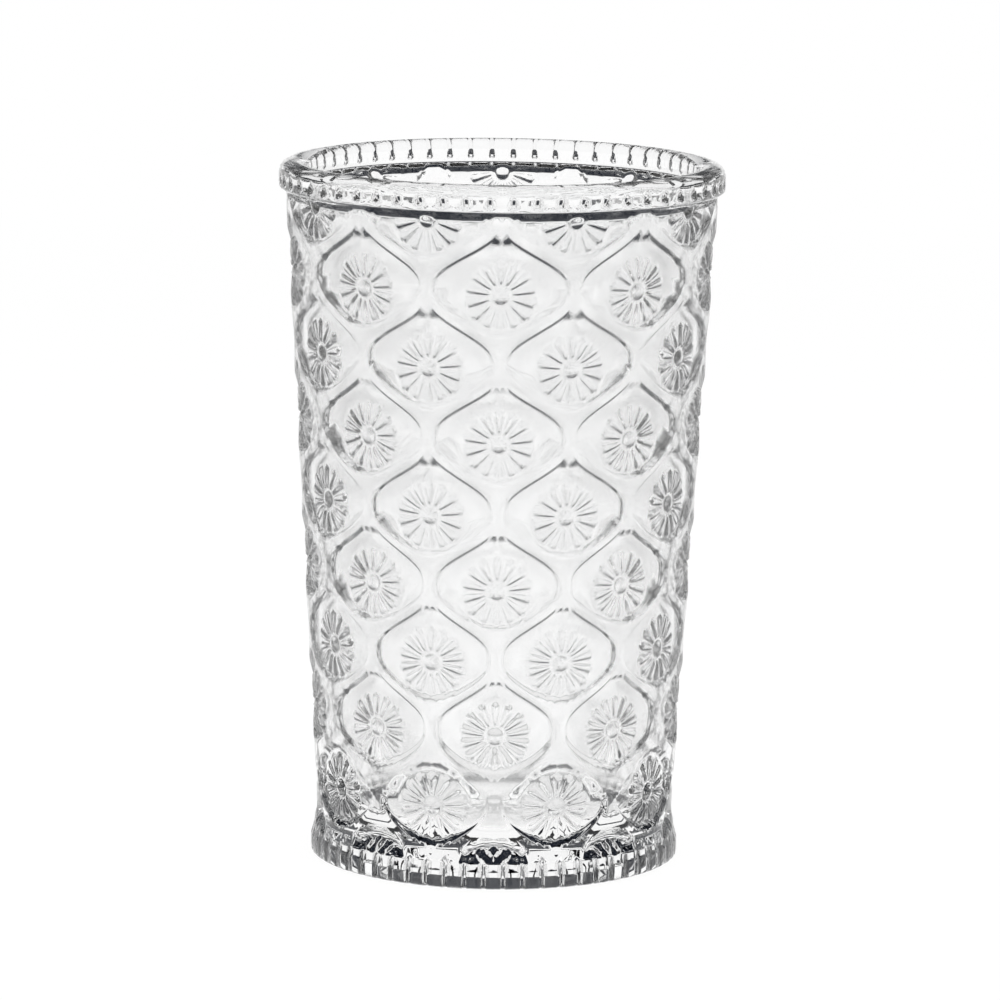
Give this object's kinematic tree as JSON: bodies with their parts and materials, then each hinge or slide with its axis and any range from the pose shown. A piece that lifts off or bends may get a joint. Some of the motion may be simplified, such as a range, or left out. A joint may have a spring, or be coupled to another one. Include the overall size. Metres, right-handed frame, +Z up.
{
  "type": "highball glass",
  "caption": "Tall tapered drinking glass of clear pressed glass, with a raised ogee trellis and daisy pattern, a beaded rim band and a beaded foot.",
  "frame": {"origin": "middle of the foot, level with the surface that the glass stands on", "axes": "+Z up along the axis of the glass, -Y towards the viewer of the picture"},
  "size_m": [0.085, 0.085, 0.134],
  "materials": {
    "clear_glass": "clear colourless soda-lime glass, pressed in a mould and fire polished at the lip"
  },
  "bodies": {
    "root": {"thick_base": "clear_glass", "foot_bead_ring": "clear_glass", "tumbler_wall": "clear_glass", "ogee_trellis": "clear_glass", "rim_bead_band": "clear_glass", "rim_lip": "clear_glass"}
  },
  "joints": []
}
